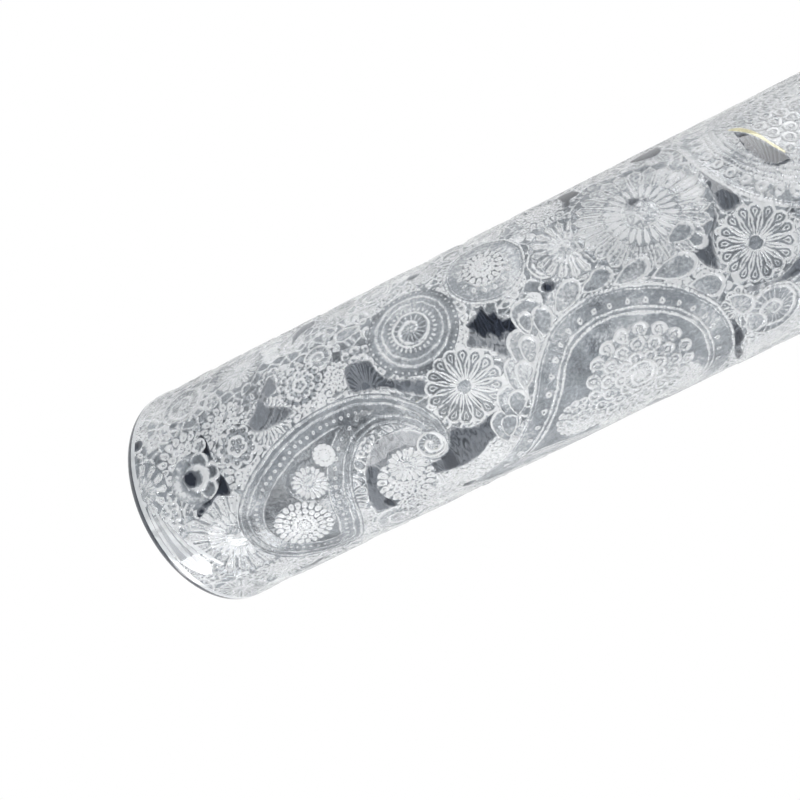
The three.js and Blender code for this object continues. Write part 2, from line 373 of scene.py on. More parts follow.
def filling():
    """Small flowers, leaves and beads strewn over the strip from large to small, each
    clear of the ones before it by a share of their sizes."""
    rng = np.random.default_rng(SEED)
    placed, figures = [], []
    for tries, least, largest, kinds in FILLING:
        for _ in range(tries):
            u, w = rng.uniform(0, REPEAT), rng.uniform(-STRIP / 2, STRIP / 2)
            size = rng.uniform(least, largest)
            if any(strip_distance(u - x, w - y) < PACKED * (size + other) for x, y, other in placed):
                continue
            placed.append((u, w, size))
            turn = rng.uniform(0, TURN)
            kind = rng.choice(kinds)
            half = (size, size * LEAF_WIDTH_SHARE) if kind == LEAF else size
            count = {ROSETTE: 12, DAISY: 18, FLUFFY: 2 + (size > 2), CLUSTER: 1 + (size > 1) + (size > 2),
                     SPIRAL: 2}.get(kind, 0)
            figures.append(Figure(kind, (u, w), half, turn, count, pale=painted_side_light(w)))
    return figures


def painted_side_light(w):
    """How pale the filling is, as painted light: least on the strip's middle line, and more by
    the square of the height over PALE_HEIGHT, up to the most, towards the rod's sides."""
    return PALE_LEAST + (PALE_MOST - PALE_LEAST) * np.clip(w / PALE_HEIGHT, -1, 1) ** 2


def strip_distance(du, dw):
    """Least distance between two places, over the ways round to the repeats."""
    return min(math.hypot(du + i, dw + j) for i, j in NEIGHBOURS)


def figures_of_strip():
    """Every figure of one repeat, from the back to the front. How pale each is stems partly from
    its own tone and partly from painted light and shade, set by how brightly its part of the
    rod is lit.
    """
    figures = filling()
    figures += [flower(CLUSTER, *c, pale=0.6) for c in EDGE_CLUSTERS]
    figures += [
        flower(DAISY, 3.1, -3, 2.7, 12, 0.25),
        flower(DAISY, 9.2, 4.8, 4.8, 20, 0.35),
        banded(DROP, CIRCLE_SHARES, (40.6, -8.3), 0.42, pale=0.35),
        flower(FLUFFY, 40.6, -8.6, 2.1, 3),
        banded(STRING, CIRCLE_SHARES, (32.3, -5.6), 0.46, pale=-0.1),
        banded(HOOK, CIRCLE_SHARES, (32.3, -5.6), 0.39, pale=0.03),
        flower(SPIRAL, 32.2, -5.6, 1.9, 1.5, turn=0.5),
        flower(CLUSTER, 20.6, -5.6, 2.4, 3),
        flower(FLUFFY, 24.3, -4.7, 1.5, 2),
        flower(DAISY, 48.2, -6.2, 3.4, 16, 0.3),
    ]
    figures += [opening(*o) for o in OPENINGS]
    figures += [gap(*g) for g in GAPS]
    figures += [
        flower(CLUSTER, 13.2, -2.9, 2.1, 2),
        flower(CLUSTER, 9.7, -4.6, 0.8, 1),
        flower(BOWL, 8.5, -1.9, 2.4, 6),
        gap(8.1, -2, 1.5, 1.7, 0, 1.0),
    ]
    figures.append(banded(HOOK, HOOK_SHARES, (10, 5), pale=-0.14))
    figures += [opening(*o) for o in IN_HOOK]
    figures += [
        flower(FLUFFY, 25.5, 7.4, 2.8, 3, 0.2),
        flower(DAISY, 26.3, 5.9, 1.9, 18, 0.25),
        flower(FLUFFY, 24.4, 10.6, 1.5, 2),
        flower(FLUFFY, 14.9, 6.9, 2.7, 4, 0.15, turn=0.3),
        flower(DAISY, 17.8, 3.2, 1.7, 18, 0.1),
        flower(FLUFFY, 20.2, 1.4, 1.1, 2),
        flower(SPIRAL, 29.3, 5, 1.4, 1.5, turn=2.4),
        flower(DAISY, 55.4, -5.9, 6.2, 24, 0.34),
        opening(0.8, (55, -7.8), (55.9, -7.5), (56.7, -6.9), (55.8, -6.9), (55.3, -6.5), (55, -7)),
        flower(ROSETTE, 34.4, 1.45, 3.6, 16, -0.08),
        banded(DROP, CIRCLE_SHARES, (71.5, -8.3), pale=0.35, bold=2),
        banded(HOOK, CIRCLE_SHARES, (71.5, -8.3), 0.7, pale=0.4, bold=2),
        flower(CLUSTER, 73, -8.8, 6, 5, 0.6),
    ]
    figures += [opening(*o) for o in IN_MEDALLION]
    figures += [flower(SPIRAL, 62.7, 8.2, 2.8, 2, 0.3)]
    figures += [leaf(*l) for l in LEAVES]
    figures.append(banded(DROP, DROP_SHARES, (49, 8), pale=0.2))
    figures += [
        flower(CLUSTER, 52.6, 12.4, 3, 4, 0.75),
        flower(CLUSTER, 47.4, 12.9, 3.4, 4, 0.75),
        flower(CLUSTER, 43, 10.6, 2.9, 4, 0.55),
        flower(CLUSTER, 49.4, 8.3, 5.4, 4, 0.45),
        flower(SPIRAL, 49.4, 8.4, 1.8, 2, 0.5),
        flower(ROSETTE, 62.7, 1.35, 3.5, 16),
    ]
    return figures


def copies_on_strip(figures):
    """The figures with their repeats that reach onto the strip, in the same order."""
    copies = []
    for figure in figures:
        low, high = figure.outline.min(0), figure.outline.max(0)
        for shift in NEIGHBOURS:
            a, b = low + shift, high + shift
            past = np.array([0, -STRIP / 2]) - MARGIN
            if (b > past).all() and (a < [REPEAT, 0] - past).all():
                copies.append(figure.moved(shift) if any(shift) else figure)
    return copies


def topmost(points, figures):
    """Index of the front figure at each point, or -1."""
    top = np.full(len(points), -1)
    for index, figure in enumerate(figures):
        low, high = figure.outline.min(0), figure.outline.max(0)
        near = np.flatnonzero(((points > low) & (points < high)).all(1))
        inner = within(points[near, 0], points[near, 1], figure.outline)
        top[near[inner]] = index
    return top


def snapped(points):
    """The points with those that nearly lie on the strip's rim or middle line put on it."""
    near = np.round(points / SNAP_LINES) * SNAP_LINES
    odd_row = np.round(points[:, 1] / SNAP_LINES[1]) % 2 != 0
    close = np.abs(points - near) < SNAP
    close[:, 1] &= odd_row
    return np.where(close, near, points)


def spans_of(lines, closed):
    """Pairs of neighbours on lines whose points follow one another in one list."""
    spans = []
    start = 0
    for line in lines:
        k = start + np.arange(len(line))
        spans.append(np.stack([k, np.roll(k, -1)], 1)[:None if closed else -1])
        start += len(line)
    return np.concatenate(spans)


def shown_outlines(figures):
    """Points of all outlines and the spans between them that no later figure hides."""
    lines = [figure.outline for figure in figures]
    points = snapped(np.concatenate(lines))
    owner = np.repeat(np.arange(len(lines)), [len(line) for line in lines])
    shown = topmost(points, figures) <= owner
    spans = spans_of(lines, closed=True)
    return points, spans[shown[spans].any(1)]


def strip_frame():
    """Points and spans of the strip's rim and of the line across its middle."""
    u = np.linspace(0, REPEAT, 2 * round(REPEAT / SPACING / 2) + 1)
    w = np.linspace(-STRIP / 2, STRIP / 2, 2 * round(STRIP / SPACING / 2) + 1)
    lines = [[(x, y) for x in u] for y in (w[0], w[-1])]
    lines += [[(x, y) for y in w] for x in (0, REPEAT, REPEAT / 2)]
    return np.concatenate(lines), spans_of(lines, closed=False)


def strip_grid(taken):
    """Rows of points in triangles, clear of the outlines' points."""
    rise = STRIP / round(STRIP / (SPACING * math.sqrt(0.75)))
    step = REPEAT / (2 * round(REPEAT / SPACING / 2))
    tree = KDTree(len(taken))
    for i, (x, y) in enumerate(taken):
        tree.insert((x, y, 0), i)
    tree.balance()
    points = []
    for j in range(1, round(STRIP / rise)):
        for i in range(round(REPEAT / step)):
            x, y = (i + (0.25 if j % 2 else 0.75)) * step, -STRIP / 2 + j * rise
            if tree.find((x, y, 0))[2] > CLEARANCE:
                points.append((x, y))
    return np.array(points)


def triangulated(figures):
    """The strip as triangles whose edges follow the outlines that show."""
    outline_points, outline_spans = shown_outlines(figures)
    used = np.unique(outline_spans)
    new_index = np.full(len(outline_points), -1)
    new_index[used] = np.arange(len(used))
    outline_points, outline_spans = outline_points[used], new_index[outline_spans]
    frame_points, frame_spans = strip_frame()
    taken = np.concatenate([outline_points, frame_points])
    points = np.concatenate([taken, strip_grid(taken)])
    spans = np.concatenate([outline_spans, frame_spans + len(outline_points)])
    vertices, _, faces, *_ = delaunay_2d_cdt(
        [Vector(p) for p in points], spans.tolist(), [], 0, MERGE / 4, False)
    vertices, faces = np.array([v[:] for v in vertices]), np.array(faces)
    centre = vertices[faces].mean(1)
    on = (np.abs(centre[:, 0] - REPEAT / 2) < REPEAT / 2) & (np.abs(centre[:, 1]) < STRIP / 2)
    return vertices, faces[on]


def match_rims(points, depth):
    """Give points of the strip's rim the highest depth among those that they will meet."""
    side = np.abs(points[:, 0] - REPEAT / 2) > REPEAT / 2 - MERGE
    rim = np.flatnonzero(side | (np.abs(points[:, 1]) > STRIP / 2 - MERGE))
    home = points[rim].copy()
    home[home[:, 1] > STRIP / 2 - MERGE] += (REPEAT / 2, -STRIP)
    home[:, 0] = (home[:, 0] + MERGE) % REPEAT
    meet = np.abs(home[:, None] - home[None]).max(2) < MERGE
    depth[rim] = np.where(meet, depth[rim][None], UNSET).max(1)


def engraved_strip():
    """Places, faces and depths of the strip's points, and of each corner the figure's own
    coordinates, its scale, kind and count, and how pale it is. A clear gap's count is how dark
    its painted shade is, and how pale a figure is stems partly from painted light."""
    figures = copies_on_strip(figures_of_strip())
    points, faces = triangulated(figures)
    top = topmost(points[faces].mean(1), figures)
    depth = np.full(len(points), UNSET)
    place = np.zeros((len(faces), 3, 3))
    form = np.zeros((len(faces), 3, 3))
    form[:, :, 0] = LACE
    # The lace is pale by painted light, paler towards the rod's sides.
    form[:, :, 2] = painted_side_light(points[faces][:, :, 1])
    for index, figure in enumerate(figures):
        mine = np.flatnonzero(top == index)
        if not len(mine):
            continue
        corners = faces[mine].ravel()
        own = figure.own(points[corners])
        np.maximum.at(depth, corners, figure.depth(own))
        if figure.kind != PLAIN:
            scale = 1 if figure.kind in BANDS else figure.half.min()
            own = np.column_stack([own, np.full(len(own), scale)])
        place[mine] = own.reshape(-1, 3, 3)
        form[mine] = (figure.kind, figure.count, figure.pale)
    depth[faces[top == -1]] = 0
    depth[depth < -1] = 0
    match_rims(points, depth)
    return points, faces, depth, place, form


def unique_angles(angle):
    """Angles in order, without the ones that repeat."""
    angle = np.sort(angle % TURN)
    return angle[np.diff(angle, prepend=-1) > MERGE / RADIUS]


def end_cap(angle, side):
    """Rings of points from the engraving out over the rounded rim to the flat end, and a
    point in its middle. Side is -1 on the left and 1 on the right."""
    quarter = np.linspace(math.pi / 2, 0, RIM_STEPS + 1)
    along = np.concatenate([[PLAIN_BAND], END_ROUND * (1 - np.cos(quarter)), [0]])
    radius = np.concatenate([[RADIUS], RADIUS - END_ROUND * (1 - np.sin(quarter)),
                             [RADIUS - END_ROUND * INNER_RING]])
    x = side * (LENGTH / 2 - along)
    ring = np.stack([np.tile(x, (len(angle), 1)), np.sin(angle)[:, None] * radius,
                     np.cos(angle)[:, None] * radius], 2)
    count, rings = len(angle), len(along)
    j, i = np.meshgrid(np.arange(count), np.arange(rings - 1), indexing="ij")
    k = (j + 1) % count
    a, b, c, d = j * rings + i, j * rings + i + 1, k * rings + i + 1, k * rings + i
    quads = np.stack([a, b, c, d], -1).reshape(-1, 4)
    triangles = np.concatenate([quads[:, [0, 1, 2]], quads[:, [0, 2, 3]]])
    j = np.arange(count)
    fan = np.stack([np.full(count, count * rings), (j + 1) % count * rings + rings - 1,
                    j * rings + rings - 1], 1)
    triangles = np.concatenate([triangles, fan])
    points = np.concatenate([ring.reshape(-1, 3), [[side * LENGTH / 2, 0, 0]]])
    return points, triangles if side > 0 else triangles[:, ::-1]


def wrapped(u, w, depth):
    """The strip laid round the rod, the depth fading out just before each plain band."""
    from_end = np.minimum(u, REPEATS * REPEAT - u)
    radius = RADIUS + depth * np.clip(from_end / FADE, 0, 1)
    angle = w / RADIUS
    return np.stack([u + PLAIN_BAND - LENGTH / 2, radius * np.sin(angle), radius * np.cos(angle)], 1)


def laid_round():
    """The strip on every repeat, on the near side and, cut in two so that it starts at the
    left end, on the far side. Each part is its points, its triangles and the two vectors
    of their corners."""
    points, faces, depth, place, form = engraved_strip()
    late = points[faces].mean(1)[:, 0] > REPEAT / 2
    parts = ((late | ~late, 0, 0), (~late, REPEAT / 2, STRIP), (late, -REPEAT / 2, STRIP))
    for repeat in range(REPEATS):
        for chosen, shift, rise in parts:
            used, local = np.unique(faces[chosen], return_inverse=True)
            u = points[used, 0] + shift + repeat * REPEAT
            w = points[used, 1] + rise
            yield wrapped(u, w, depth[used]), local.reshape(-1, 3), place[chosen], form[chosen]


def rod_end(angle, side):
    """One end as such a part, its rounded rim marked with painted shade for the dark edge it refracts."""
    cap, triangles = end_cap(angle, side)
    corners = cap[triangles]
    on_rim = np.abs(corners[:, :, 0]).min(1) > LENGTH / 2 - END_ROUND - MERGE
    on_rim &= np.hypot(*corners.mean(1)[:, 1:].T) > RADIUS - END_ROUND
    form = np.zeros((len(triangles), 3, 3))
    # Painted shade on the rounded rim.
    form[on_rim, :, 1] = RIM_GLOOM
    return cap, triangles, np.zeros_like(form), form


def make_rod():
    parts = list(laid_round())
    band = np.concatenate([points for points, *_ in parts])
    angle = np.arctan2(band[:, 1], band[:, 2])
    for side in (-1, 1):
        rim = np.abs(band[:, 0] - side * (LENGTH / 2 - PLAIN_BAND)) < MERGE
        parts.append(rod_end(unique_angles(angle[rim]), side))
    points, triangles, places, forms = zip(*parts)
    starts = np.cumsum([0] + [len(p) for p in points])
    triangles = [t + start for t, start in zip(triangles, starts)]
    return mesh_object("engraved_rod", np.concatenate(points) * MM, np.concatenate(triangles),
                       place=np.concatenate(places), form=np.concatenate(forms))


def mesh_object(name, vertices, triangles, **corner_vectors):
    """A closed mesh of triangles, its doubled points joined, with named vectors at the
    corners of its faces."""
    mesh = bpy.data.meshes.new(name)
    mesh.vertices.add(len(vertices))
    mesh.vertices.foreach_set("co", vertices.astype(np.float32).ravel())
    mesh.loops.add(triangles.size)
    mesh.loops.foreach_set("vertex_index", triangles.astype(np.int32).ravel())
    mesh.polygons.add(len(triangles))
    mesh.polygons.foreach_set("loop_start", np.arange(0, triangles.size, 3, dtype=np.int32))
    mesh.update(calc_edges=True)
    for title, values in corner_vectors.items():
        layer = mesh.attributes.new(title, "FLOAT_VECTOR", "CORNER")
        layer.data.foreach_set("vector", values.astype(np.float32).ravel())
    work = bmesh.new()
    work.from_mesh(mesh)
    bmesh.ops.remove_doubles(work, verts=work.verts, dist=MERGE * MM)
    work.to_mesh(mesh)
    work.free()
    mesh.polygons.foreach_set("use_smooth", np.ones(len(mesh.polygons), bool))
    mesh.validate()
    piece = bpy.data.objects.new(name, mesh)
    bpy.context.scene.collection.objects.link(piece)
    return piece


# Materials. The engraved lines' lengths are millimetres, and every line's half width is
# drawn BROADER than stated.
BROADER = 1.3

# Colours of the acrylic, and the relief at which it is satin and at which it is a crest. The
# two dark colours of the clear gaps are painted shade, standing in for the darkness seen
# through the rod, the yellow is a painted glint on a gap's edge, and the groove colour is
# painted shade in the grooves.
CLEAR = (0.93, 0.95, 0.97)
PAINTED_GLINT = (1.0, 0.92, 0.5)
PAINTED_DUSK = (0.115, 0.13, 0.155)
PAINTED_GLOOM = (0.004, 0.006, 0.012)
PAINTED_GROOVE_SHADE = (0.042, 0.05, 0.06)
SATIN = (0.32, 0.35, 0.385)
CREST = (0.97, 0.99, 1.0)
SATIN_RELIEF, CREST_RELIEF = 0.42, 0.8

# How clear and how refracting the acrylic is
CLARITY = 0.72
ACRYLIC_IOR = 1.49

# How far in millimetres the drawn lines stray to each side, and how high they stand
UNSTEADY = 0.4
LINE_HEIGHT = 0.2

# Scales of the textures: the unsteady hand, the grain of the cut, its wear, clouds of haze,
# the cells of the lace, and the streaks in the gaps
HAND_SCALE, GRAIN_SCALE, WEAR_SCALE, CLOUD_SCALE = 700, 3400, 1300, 260
LACE_SCALE, STREAK_SCALE = 900, 0.8


class Value:
    """A socket's number or colour. A sum written with it makes the arithmetic nodes."""

    def __init__(self, m, socket):
        self.m, self.socket = m, socket

    def sum(self, operation, other):
        return self.m(operation, self, other)

    def __rsub__(self, other):
        return self.m("SUBTRACT", other, self)

    __add__ = __radd__ = partialmethod(sum, "ADD")
    __mul__ = __rmul__ = partialmethod(sum, "MULTIPLY")
    __sub__, __truediv__ = partialmethod(sum, "SUBTRACT"), partialmethod(sum, "DIVIDE")
    __gt__, __lt__ = partialmethod(sum, "GREATER_THAN"), partialmethod(sum, "LESS_THAN")


class Sums:
    """Short calls for the nodes of one tree. The call itself is an arithmetic node."""

    def __init__(self, tree):
        self.tree = tree

    def __call__(self, operation, *values):
        return self.out(self.node("Math", *values, operation=operation))

    def node(self, kind, *values, **settings):
        """A new node with these settings, its inputs fed in order."""
        node = self.tree.nodes.new("ShaderNode" + kind)
        for title, value in settings.items():
            setattr(node, title, value)
        self.feed(node.inputs, values)
        return node

    def out(self, node, title=0):
        return Value(self, node.outputs[title])

    def feed(self, sockets, values):
        for socket, value in zip(sockets, values):
            if isinstance(value, Value):
                self.tree.links.new(value.socket, socket)
            else:
                socket.default_value = value

    def split(self, vector):
        node = self.node("SeparateXYZ", vector)
        return [self.out(node, part) for part in range(3)]

    def length(self, x, y):
        return self("SQRT", x * x + y * y)

    def most(self, first, *others):
        for height in others:
            first = self("MAXIMUM", first, height)
        return first

    def curve(self, value, points):
        """A smooth curve through points, for values from 0 to 1."""
        node = self.node("FloatCurve", 1.0, value)
        shape = node.mapping.curves[0].points
        shape[0].location, shape[1].location = points[0], points[-1]
        for x, y in points[1:-1]:
            shape.new(x, y)
        node.mapping.update()
        return self.out(node)

    def stroke(self, distance, place, half_width, height=1.0):
        """A line's full height at its place, smoothly down to nothing at the half width."""
        away = self("ABSOLUTE", distance - place)
        return self.out(self.node("MapRange", away, half_width * BROADER, 0.0, 0.0, height,
                                  interpolation_type="SMOOTHSTEP"))

    def noise(self, place, scale, title=0, **settings):
        node = self.node("TexNoise", place)
        for name, value in {"Scale": scale, **settings}.items():
            node.inputs[name].default_value = value
        return self.out(node, title)

    def ramp(self, value, stops):
        node = self.node("ValToRGB", value)
        marks = node.color_ramp.elements
        for mark, (place, colour) in zip((marks[0], marks[-1]), (stops[0], stops[-1])):
            mark.position, mark.color = place, (*colour, 1)
        for place, colour in stops[1:-1]:
            marks.new(place).color = (*colour, 1)
        return self.out(node)

    def mixed(self, share, first, second):
        node = self.node("Mix", data_type="RGBA")
        titles = "Factor_Float", "A_Color", "B_Color"
        self.feed([next(i for i in node.inputs if i.identifier == t) for t in titles],
                  (share, first, second))
        return Value(self, next(o for o in node.outputs if o.identifier == "Result_Color"))


def over(low, high, mask):
    """Low where the mask is 0 and high where it is 1."""
    return low + (high - low) * mask


# Strokes of the figures: the line's place, its half width and its height. An eye's and the
# bowl's petal's are shares of the figure's radius, and the lace's are in its cells' units.
ROSETTE_EDGE, ROSETTE_LOOP = (0.0, 0.18, 0.85), (-0.36, 0.12, 0.75)
ROSETTE_TIP, ROSETTE_EYE = (0.1, 0.17), (0.19, 0.045, 0.8)
DAISY_EDGE, DAISY_VEIN = (-0.06, 0.2, 0.9), (0.0, 0.1, 0.75)
DAISY_EYE, DAISY_DOT = (0.27, 0.03, 0.6), (0.0, 0.35)
RING_RIM, RING_SECOND = (-0.1, 0.26), (-0.56, 0.14)
RING_SHADE, RING_GAP = (-0.36, 0.1, 0.4), (0.0, 0.22)
LEAF_RIM = (0.13, 0.19, 0.9)
SPIRAL_TURN, SPIRAL_RIM, SPIRAL_RAY = (0.0, 0.3, 0.85), (0.14, 0.2), (0.0, 0.13, 0.5)
BOWL_LOBE, BOWL_PETAL, BOWL_LIP = (0.0, 0.26), (0.8, 0.3), (0.0, 0.42, 2.2)
LACE_STROKE = (0.0, 0.16, 0.6)
BEAD_HEIGHT = 0.8

# Ringed flowers: how many petals more each ring has, and how many besides, how narrow they
# are, how high they are filled, and how strong their second rim is
RINGED = {FLUFFY: (5.0, 3.0, 1.4, 0.85, 0.0), CLUSTER: (4.0, 1.0, 1.0, 0.5, 0.8)}

# Banded figures: the strokes of the ropes, the bead's place and radius, and the height of
# the ground between the ropes and inside them
ROPES = {
    HOOK: (((0.26, 0.26, 0.8), (0.88, 0.24, 0.75), (2.25, 0.17, 0.8)), 1.6, 0.2, 0.34, 0.16),
    DROP: (((0.16, 0.22, 0.95), (0.5, 0.13, 0.5), (2.12, 0.18, 0.9), (2.6, 0.2, 0.9)),
           1.55, 0.3, 0.24, 0.17),
    STRING: (((0.85, 0.12, 0.4),), 0.25, 0.12, 0.3, 0.3),
}


class Lines:
    """The fine raised lines of each kind of figure, as heights of about 0 to 1, from its own
    coordinates, its scale in millimetres and its count of petals, rings or turns. Places
    across a figure are shares of its radius, and levels are heights of the ground."""

    def __init__(self, m, x, y, scale, count):
        self.m, self.x, self.y, self.scale, self.count = m, x, y, scale, count
        self.radius, self.angle = m.length(x, y), m("ARCTAN2", y, x)
        self.out, self.aside = self.petals(self.radius, count)
        self.rim = (1.0 - self.radius) * scale

    def petals(self, radius, count, phase=0.0):
        """Polar coordinates folded onto the nearest of count rays: how far out along the
        ray, and how far to its side."""
        m = self.m
        part = m("FRACT", self.angle / TURN * count + (phase + 0.5)) - 0.5
        bend = part * TURN / count
        return radius * m("COSINE", bend), m("ABSOLUTE", radius * m("SINE", bend))

    def scallop(self, out, aside, place, size):
        """Signed distance to a circle centred at a place along a petal's ray."""
        return self.m.length(out - place, aside) - size

    def rosette(self):
        """Loops like drops whose round ends are the scallops of its edge."""
        m, out, radius = self.m, self.out, self.radius
        half_widths = ((0, 0), (0.2, 0.025), (0.4, 0.045), (0.6, 0.075), (0.8, 0.15), (1, 0.15))
        end_place, end_size, tip_from, loop_from, outer_from, eye = 0.81, 0.15, 0.84, 0.6, 0.9, 0.2
        petal_level, outer_level, eye_level = 0.24, 0.14, 0.35
        end = self.scallop(out, self.aside, end_place, end_size)
        edge = over(self.aside - m.curve(out, half_widths), end, out > end_place) * self.scale
        base = over(petal_level * (edge < 0.0), outer_level, radius > outer_from)
        base = m.most(base, m.stroke(edge, *ROSETTE_EDGE),
                      m.stroke(edge, *ROSETTE_LOOP) * (out > loop_from),
                      m.stroke(end * self.scale, *ROSETTE_TIP) * (out > tip_from))
        return m.most(over(base, eye_level, radius < eye), m.stroke(radius, *ROSETTE_EYE))

    def daisy(self):
        """Short bright bars round the eye, over long looped petals that lie between them."""
        m, radius = self.m, self.radius
        petal_widths = ((0, 0), (0.3, 0.03), (0.7, 0.075), (0.88, 0.09), (0.97, 0), (1, 0))
        bar_widths = ((0, 0), (0.27, 0.005), (0.36, 0.028), (0.47, 0.034), (0.55, 0), (1, 0))
        bars_to, bars_share, eye = 0.56, 0.75, 0.26
        petal_level, gap_level, bar_level, between_bars, eye_level = 0.5, 0.1, 1.3, 0.3, 0.4
        out, aside = self.petals(radius, self.count, phase=0.5)
        edge = (aside - m.curve(out, petal_widths)) * self.scale
        base = m.most(over(petal_level, gap_level, edge > 0.0), m.stroke(edge, *DAISY_EDGE),
                      m.stroke(aside * self.scale, *DAISY_VEIN))
        bars = over(bar_level, between_bars, self.aside - m.curve(self.out, bar_widths) > 0.0)
        base = over(base, bars, (self.out < bars_to) * bars_share)
        return m.most(over(base, eye_level, radius < eye), m.stroke(radius, *DAISY_EYE),
                      m.stroke(radius * self.scale, *DAISY_DOT))

    def ringed(self, more, besides, narrow, filled, second_rim):
        """Rings of petals with round ends, each ring turned on from the one inside it."""
        m, count = self.m, self.count
        centre_below, petal_size, upper_part = 0.55, 0.5, 0.6
        between = 0.4 * narrow ** -3
        rings = self.radius * count
        number = m("CEIL", rings)
        out, aside = self.petals(rings, number * more + besides, number * RING_TURN)
        edge = self.scallop(out, aside * narrow, number - centre_below, petal_size)
        edge = edge * self.scale / count
        ground = (1.0 - m.stroke(edge, *RING_GAP)) * between * (number < count - 0.5)
        base = over(filled, ground, edge > 0.0) - m.stroke(edge, *RING_SHADE)
        rims = m.most(m.stroke(edge, *RING_RIM), m.stroke(edge, *RING_SECOND) * second_rim)
        return m.most(base, rims * (out > number - upper_part))

    def leaf(self):
        """A pale rim round a smooth inside that rises a little to its middle."""
        rise, least = 0.1, 0.2
        return self.m.most(self.m.stroke(self.rim, *LEAF_RIM), self.rim * rise + least)

    def spiral(self):
        """One line wound count times, over eleven rays to a turn."""
        m, count = self.m, self.count
        rays, level = 11.0, 0.15
        across = (m("FRACT", self.radius * count - self.angle / TURN) - 0.5) / count
        _, aside = self.petals(self.radius, count * rays)
        return m.most(m.stroke(across * self.scale, *SPIRAL_TURN), m.stroke(self.rim, *SPIRAL_RIM),
                      m.stroke(aside * self.scale, *SPIRAL_RAY), level)

    def bowl(self):
        """Dark scalloped petals round a dark bowl whose right lip is bright, a painted highlight.
        Lit is painted light that grows from left to right."""
        m, radius = self.m, self.radius
        lobe_place, lobe_size, lip, lip_power = 0.66, 0.33, 0.42, 1.5
        # Painted light, brighter to the right.
        lit = self.x * 0.55 + 0.5
        ring = self.scallop(self.out, self.aside, lobe_place, lobe_size) * self.scale
        lobes = m.stroke(ring, *BOWL_LOBE) * (lit * 0.9 + 0.25)
        petals = m.stroke(radius, *BOWL_PETAL) * (0.8 - lit * 0.8)
        lips = m.stroke((radius - lip) * self.scale, *BOWL_LIP) * m("POWER", lit, lip_power)
        return m.most(m.most(lobes, petals) * (radius > lip), lips)

    def banded(self, spacing, ropes, bead, size, between, inside):
        """Ribbed ropes at set distances in from the outline, and a row of ring-shaped beads.
        Here x is the distance in from the outline, y counts the beads along it, and the
        count says how bold the lines are."""
        m, x = self.m, self.x
        ring_share, bead_height = 0.6, 0.9
        bold = self.count * 0.5 + 1.0
        ribs = m("COSINE", self.y * (RIBS * TURN)) * 0.15 + 0.85
        rows = [m.stroke((x - place) / bold, 0.0, half_width, height) * ribs
                for place, half_width, height in ropes]
        along = (m("FRACT", self.y) - 0.5) * spacing
        ring = size * ring_share
        beads = m.stroke(m.length(along, x - bead) / bold, ring, ring, bead_height)
        return m.most(*rows, beads, over(between, inside, x > ropes[-1][0]))


def lines_height(m, x, y, scale, kind, count):
    """The sum of each kind's height where the figure is of that kind."""
    lines = Lines(m, x, y, scale, count)
    heights = {ROSETTE: lines.rosette(), DAISY: lines.daisy(), LEAF: lines.leaf(),
               SPIRAL: lines.spiral(), BEAD: BEAD_HEIGHT, BOWL: lines.bowl()}
    heights.update({code: lines.ringed(*form) for code, form in RINGED.items()})
    heights.update({code: lines.banded(BEAD_SPACING[code], *form) for code, form in ROPES.items()})
    return sum(m("COMPARE", kind, code, 0.5) * height for code, height in heights.items())


def new_material(name):
    material = bpy.data.materials.new(name)
    material.use_nodes = True
    tree = material.node_tree
    return material, Sums(tree), tree.nodes["Principled BSDF"]


def drawn_lines(m, coordinates, place, kind, count):
    """Height of the lines, drawn by an unsteady hand, and of the lace between the figures."""
    x, y, scale = place
    strays = m.split(m.noise(coordinates, HAND_SCALE, "Color"))
    drawn = [own + (stray - 0.5) * UNSTEADY / scale for own, stray in zip((x, y), strays)]
    lines = lines_height(m, *drawn, scale, kind, count)
    cells = m.node("TexVoronoi", coordinates, feature="DISTANCE_TO_EDGE")
    cells.inputs["Scale"].default_value = LACE_SCALE
    lace = m.stroke(m.out(cells, "Distance"), *LACE_STROKE)
    return m("MAXIMUM", lines, lace * m("COMPARE", kind, LACE, 0.5))


def engraved_colour(m, coordinates, lines, grainy, pale):
    """From the painted shade of the grooves to the crest by the relief: the worn lines, the
    grain, and a haze that is paler where no lines are, in clouds. How pale the haze is comes
    partly from the figure's own tone and partly from painted light."""
    worn = lines * (m.noise(coordinates, WEAR_SCALE) * 1.1 + 0.45)
    clouds = m.noise(coordinates, CLOUD_SCALE) * 0.9 - 0.42
    relief = grainy + worn + (pale * (0.95 - worn) + clouds)
    # The ramp's dark end is painted shade in the grooves.
    return m.ramp(relief, ((0, PAINTED_GROOVE_SHADE), (SATIN_RELIEF, SATIN), (CREST_RELIEF, CREST)))


def gap_painted_shade(m, place, gloom):
    """The painted shade of a clear gap, standing in for the darkness seen through the rod, in
    streaks, deeper to its top and further in from its outline. Gloom less than nothing is a
    painted yellow glint on its edge. The rod's ends have no place and show their painted
    shade plain."""
    x, y, inside = place
    # Painted shade in streaks, darker to the gap's top and further in from its outline.
    streaks = m.noise(m.out(m.node("CombineXYZ", x * 2.6, x * 0.3 + y)), STREAK_SCALE, Distortion=0.4)
    sloped = y * 0.07 + (streaks * 1.6 + 0.1)
    shade = gloom * m("MINIMUM", sloped * (inside * 3.0 + 0.45), 1.0)
    shade = m("MAXIMUM", shade, (inside < 1e-9) * gloom)
    # Painted shade: from clear where the gap is lightest to near black where it is darkest.
    clear = m.ramp(shade, ((0, CLEAR), (0.5, PAINTED_DUSK), (1, PAINTED_GLOOM)))
    # A painted yellow glint where the gloom is less than nothing.
    return m.mixed(gloom < 0.0, clear, (*PAINTED_GLINT, 1))


